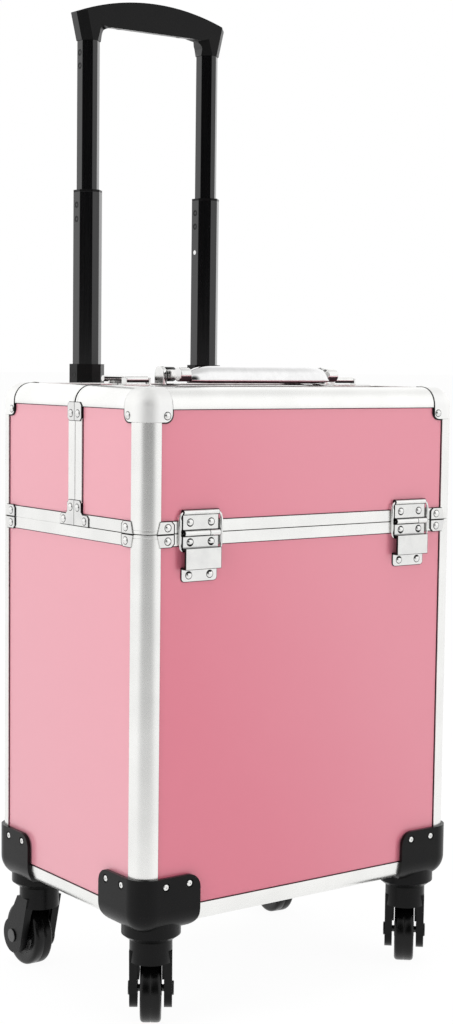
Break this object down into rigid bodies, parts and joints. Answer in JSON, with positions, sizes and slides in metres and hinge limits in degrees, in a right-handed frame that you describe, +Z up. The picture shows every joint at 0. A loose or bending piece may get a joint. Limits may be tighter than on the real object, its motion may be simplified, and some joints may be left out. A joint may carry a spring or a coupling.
{
  "type": "rolling makeup case",
  "caption": "Upright hard case with panels in a riveted aluminium frame, a front lid that swings forward on stay hinges, a telescopic pull handle and swivel casters",
  "frame": {"origin": "on the floor under the middle of the whole part's box", "axes": "+X to the right of someone facing the lid, -Y to the front, +Z up"},
  "size_m": [0.3513, 0.275, 0.8905],
  "materials": {
    "pink_panel": "fine satin film on board",
    "dark_board": "black film on board",
    "satin_aluminium": "satin anodised",
    "plated_steel": "bright nickel plate",
    "black_tube": "black anodised",
    "black_plastic": "satin moulded",
    "wheel_rubber": "satin"
  },
  "bodies": {
    "case": {"lower_front_panel": "pink_panel", "lower_back_panel": "pink_panel", "lower_side_panels": "pink_panel", "floor_panel": "dark_board", "lower_posts": "satin_aluminium", "bottom_rails": "satin_aluminium", "lower_rim": "satin_aluminium", "rear_top_panel": "pink_panel", "rear_back_panel": "pink_panel", "rear_side_panels": "pink_panel", "rear_posts": "satin_aluminium", "rear_top_rails": "satin_aluminium", "rear_rim": "satin_aluminium", "rear_corner_caps": "satin_aluminium", "body_joint_plates": "plated_steel", "body_rivets": "plated_steel", "hinge_body_leaves": "plated_steel", "hinge_pins": "plated_steel", "latch_keepers": "plated_steel", "outer_tubes": "black_tube", "tube_collars": "black_plastic", "tube_feet": "black_plastic", "caster_brackets": "black_plastic", "bracket_screws": "plated_steel"},
    "front_lid": {"lid_front_panel": "pink_panel", "lid_top_panel": "pink_panel", "lid_side_panels": "pink_panel", "lid_posts": "satin_aluminium", "lid_top_rails": "satin_aluminium", "lid_rim": "satin_aluminium", "lid_corner_caps": "satin_aluminium", "lid_joint_plates": "plated_steel", "lid_rivets": "plated_steel", "hinge_lid_leaves": "plated_steel", "latch_bases": "plated_steel", "handle_brackets": "plated_steel"},
    "stays": {"stay_loops": "plated_steel"},
    "latch_left": {"latch_lever_left": "plated_steel"},
    "latch_right": {"latch_lever_right": "plated_steel"},
    "carry_handle": {"carry_grip": "plated_steel", "handle_ends": "plated_steel"},
    "trolley_middle": {"middle_tubes": "black_tube", "middle_bushes": "black_plastic"},
    "trolley_inner": {"inner_tubes": "black_tube", "pull_grip": "black_plastic"},
    "release": {"release_button": "black_plastic", "push_rods": "satin_aluminium"},
    "caster_front_left": {"fork_front_left": "black_plastic", "axle_front_left": "plated_steel"},
    "roller_front_left": {"wheel_front_left": "wheel_rubber"},
    "caster_front_right": {"fork_front_right": "black_plastic", "axle_front_right": "plated_steel"},
    "roller_front_right": {"wheel_front_right": "wheel_rubber"},
    "caster_rear_left": {"fork_rear_left": "black_plastic", "axle_rear_left": "plated_steel"},
    "roller_rear_left": {"wheel_rear_left": "wheel_rubber"},
    "caster_rear_right": {"fork_rear_right": "black_plastic", "axle_rear_right": "plated_steel"},
    "roller_rear_right": {"wheel_rear_right": "wheel_rubber"}
  },
  "joints": [
    {"name": "lid_swing", "type": "hinge", "parent": "case", "child": "front_lid", "pos_m": [0, -0.1342, 0.4181], "axis": [1, 0, 0], "range_deg": [0, 95]},
    {"name": "stay_swing", "type": "hinge", "parent": "front_lid", "child": "stays", "pos_m": [0, -0.1326, 0.4351], "axis": [1, 0, 0], "range_deg": [-58, 1]},
    {"name": "carry_handle_lift", "type": "hinge", "parent": "front_lid", "child": "carry_handle", "pos_m": [0, -0.0353, 0.546], "axis": [-1, 0, 0], "range_deg": [0, 100]},
    {"name": "pull_lower_slide", "type": "slide", "parent": "case", "child": "trolley_middle", "axis": [0, 0, 1], "range_m": [-0.155, 0]},
    {"name": "pull_upper_slide", "type": "slide", "parent": "trolley_middle", "child": "trolley_inner", "axis": [0, 0, 1], "range_m": [-0.13, 0]},
    {"name": "release_press", "type": "slide", "parent": "trolley_inner", "child": "release", "axis": [0, 0, -1], "range_m": [0, 0.004], "stiffness_N_per_m": 1500, "springref_m": -0.002},
    {"name": "latch_left_lift", "type": "hinge", "parent": "front_lid", "child": "latch_left", "pos_m": [-0.1145, -0.0358, 0.5415], "axis": [1, 0, 0], "range_deg": [0, 80]},
    {"name": "latch_right_lift", "type": "hinge", "parent": "front_lid", "child": "latch_right", "pos_m": [0.1145, -0.0358, 0.5415], "axis": [1, 0, 0], "range_deg": [0, 80]},
    {"name": "swivel_front_left", "type": "hinge", "parent": "case", "child": "caster_front_left", "pos_m": [-0.1415, -0.1058, 0.0855], "axis": [0, 0, 1], "continuous": true},
    {"name": "roll_front_left", "type": "hinge", "parent": "caster_front_left", "child": "roller_front_left", "pos_m": [-0.13118, -0.09106, 0.0285], "axis": [0.8192, -0.5736, 0], "continuous": true},
    {"name": "swivel_front_right", "type": "hinge", "parent": "case", "child": "caster_front_right", "pos_m": [0.1415, -0.1058, 0.0855], "axis": [0, 0, 1], "continuous": true},
    {"name": "roll_front_right", "type": "hinge", "parent": "caster_front_right", "child": "roller_front_right", "pos_m": [0.15354, -0.09242, 0.0285], "axis": [0.7431, -0.6691, 0], "continuous": true},
    {"name": "swivel_rear_left", "type": "hinge", "parent": "case", "child": "caster_rear_left", "pos_m": [-0.1415, 0.0782, 0.0855], "axis": [0, 0, 1], "continuous": true},
    {"name": "roll_rear_left", "type": "hinge", "parent": "caster_rear_left", "child": "roller_rear_left", "pos_m": [-0.1415, 0.0962, 0.0285], "axis": [1, 0, 0], "continuous": true},
    {"name": "swivel_rear_right", "type": "hinge", "parent": "case", "child": "caster_rear_right", "pos_m": [0.1415, 0.0782, 0.0855], "axis": [0, 0, 1], "continuous": true},
    {"name": "roll_rear_right", "type": "hinge", "parent": "caster_rear_right", "child": "roller_rear_right", "pos_m": [0.14401, 0.09602, 0.0285], "axis": [0.9903, -0.1392, 0], "continuous": true}
  ],
  "couplings": [
    {"joint": "stay_swing", "follows": "lid_swing", "ratio": -0.595}
  ]
}
